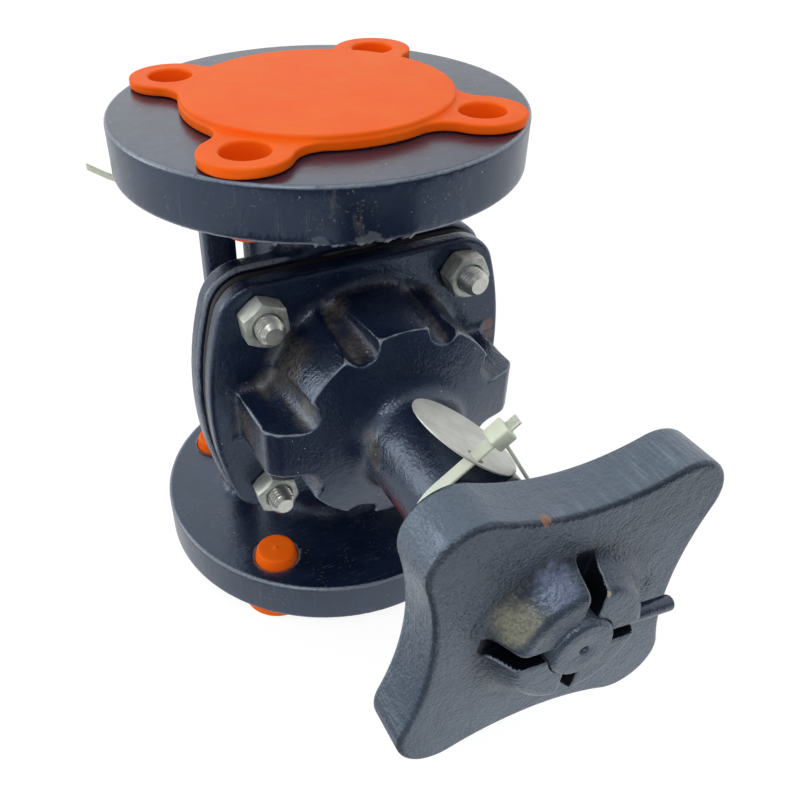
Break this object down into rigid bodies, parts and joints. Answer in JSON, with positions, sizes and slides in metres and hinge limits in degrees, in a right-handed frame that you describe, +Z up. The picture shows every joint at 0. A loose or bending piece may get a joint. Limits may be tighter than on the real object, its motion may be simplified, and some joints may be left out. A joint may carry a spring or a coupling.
{
  "type": "flanged diaphragm valve",
  "caption": "Flanged weir diaphragm valve: lobed bonnet, hollow-sided handwheel on a rising spindle, push-in covers on both pipe flanges, and an identity disc tied to the neck.",
  "frame": {"origin": "centre of the lower flange cover's underside, the face that the valve stands on, on the flow axis", "axes": "+Z up along the flow axis through both pipe flanges; the bonnet and the handwheel point along -Y; +X to the right of someone who faces the handwheel"},
  "size_m": [0.1572, 0.2582, 0.2075],
  "materials": {
    "black_enamel": "semi-gloss black enamel with a faint blue cast over a sand-cast surface, dusty in its recesses",
    "wheel_enamel": "semi-gloss charcoal enamel over a sand-cast surface",
    "black_rubber": "moulded, matt",
    "zinc_steel": "dull galvanised steel with bright chamfers",
    "turned_steel": "turned, dulled",
    "bare_iron": "bare casting",
    "bronze": "turned bronze",
    "orange_plastic": "moulded polyethylene, satin gloss",
    "tag_steel": "pale stamped steel, faintly scratched",
    "natural_nylon": "natural nylon, slightly translucent"
  },
  "bodies": {
    "valve_body": {"valve_body": "black_enamel", "diaphragm": "black_rubber", "bonnet": "black_enamel", "bonnet_bolt_1": "zinc_steel", "bonnet_bolt_2": "zinc_steel", "bonnet_bolt_3": "zinc_steel", "bonnet_bolt_4": "zinc_steel", "bonnet_nut_1": "zinc_steel", "bonnet_nut_2": "zinc_steel", "bonnet_nut_3": "zinc_steel", "bonnet_nut_4": "zinc_steel", "spindle_bushing": "bronze", "spindle_seal": "black_rubber", "bushing_retaining_nut": "turned_steel", "dust_seal": "black_rubber", "bottom_cover": "orange_plastic", "tag_tie": "natural_nylon", "neck_tie": "natural_nylon"},
    "compressor": {"compressor": "bare_iron", "compressor_pin_left": "turned_steel", "compressor_pin_right": "turned_steel", "diaphragm_stud": "turned_steel", "thrust_disc": "bronze"},
    "handwheel": {"handwheel": "wheel_enamel", "spindle": "turned_steel", "drive_pin": "turned_steel"},
    "top_cover": {"top_cover": "orange_plastic"},
    "identity_tag": {"identity_tag": "tag_steel"}
  },
  "joints": [
    {"name": "compressor_rise", "type": "slide", "parent": "valve_body", "child": "compressor", "axis": [0, -1, 0], "range_m": [0, 0.0254], "deforming": ["diaphragm"]},
    {"name": "handwheel_turn", "type": "hinge", "parent": "compressor", "child": "handwheel", "pos_m": [0, -0.15, 0.10372], "axis": [0, -1, 0], "range_deg": [0, 1440]},
    {"name": "top_cover_lift", "type": "slide", "parent": "valve_body", "child": "top_cover", "axis": [0, 0, 1], "range_m": [0, 0.045]},
    {"name": "tag_swing", "type": "hinge", "parent": "valve_body", "child": "identity_tag", "pos_m": [0.00213, -0.12688, 0.12629], "axis": [0.8192, 0, -0.5736], "range_deg": [0, 15]}
  ],
  "couplings": [
    {"joint": "compressor_rise", "follows": "handwheel_turn", "m_per_rad": 0.00101}
  ]
}
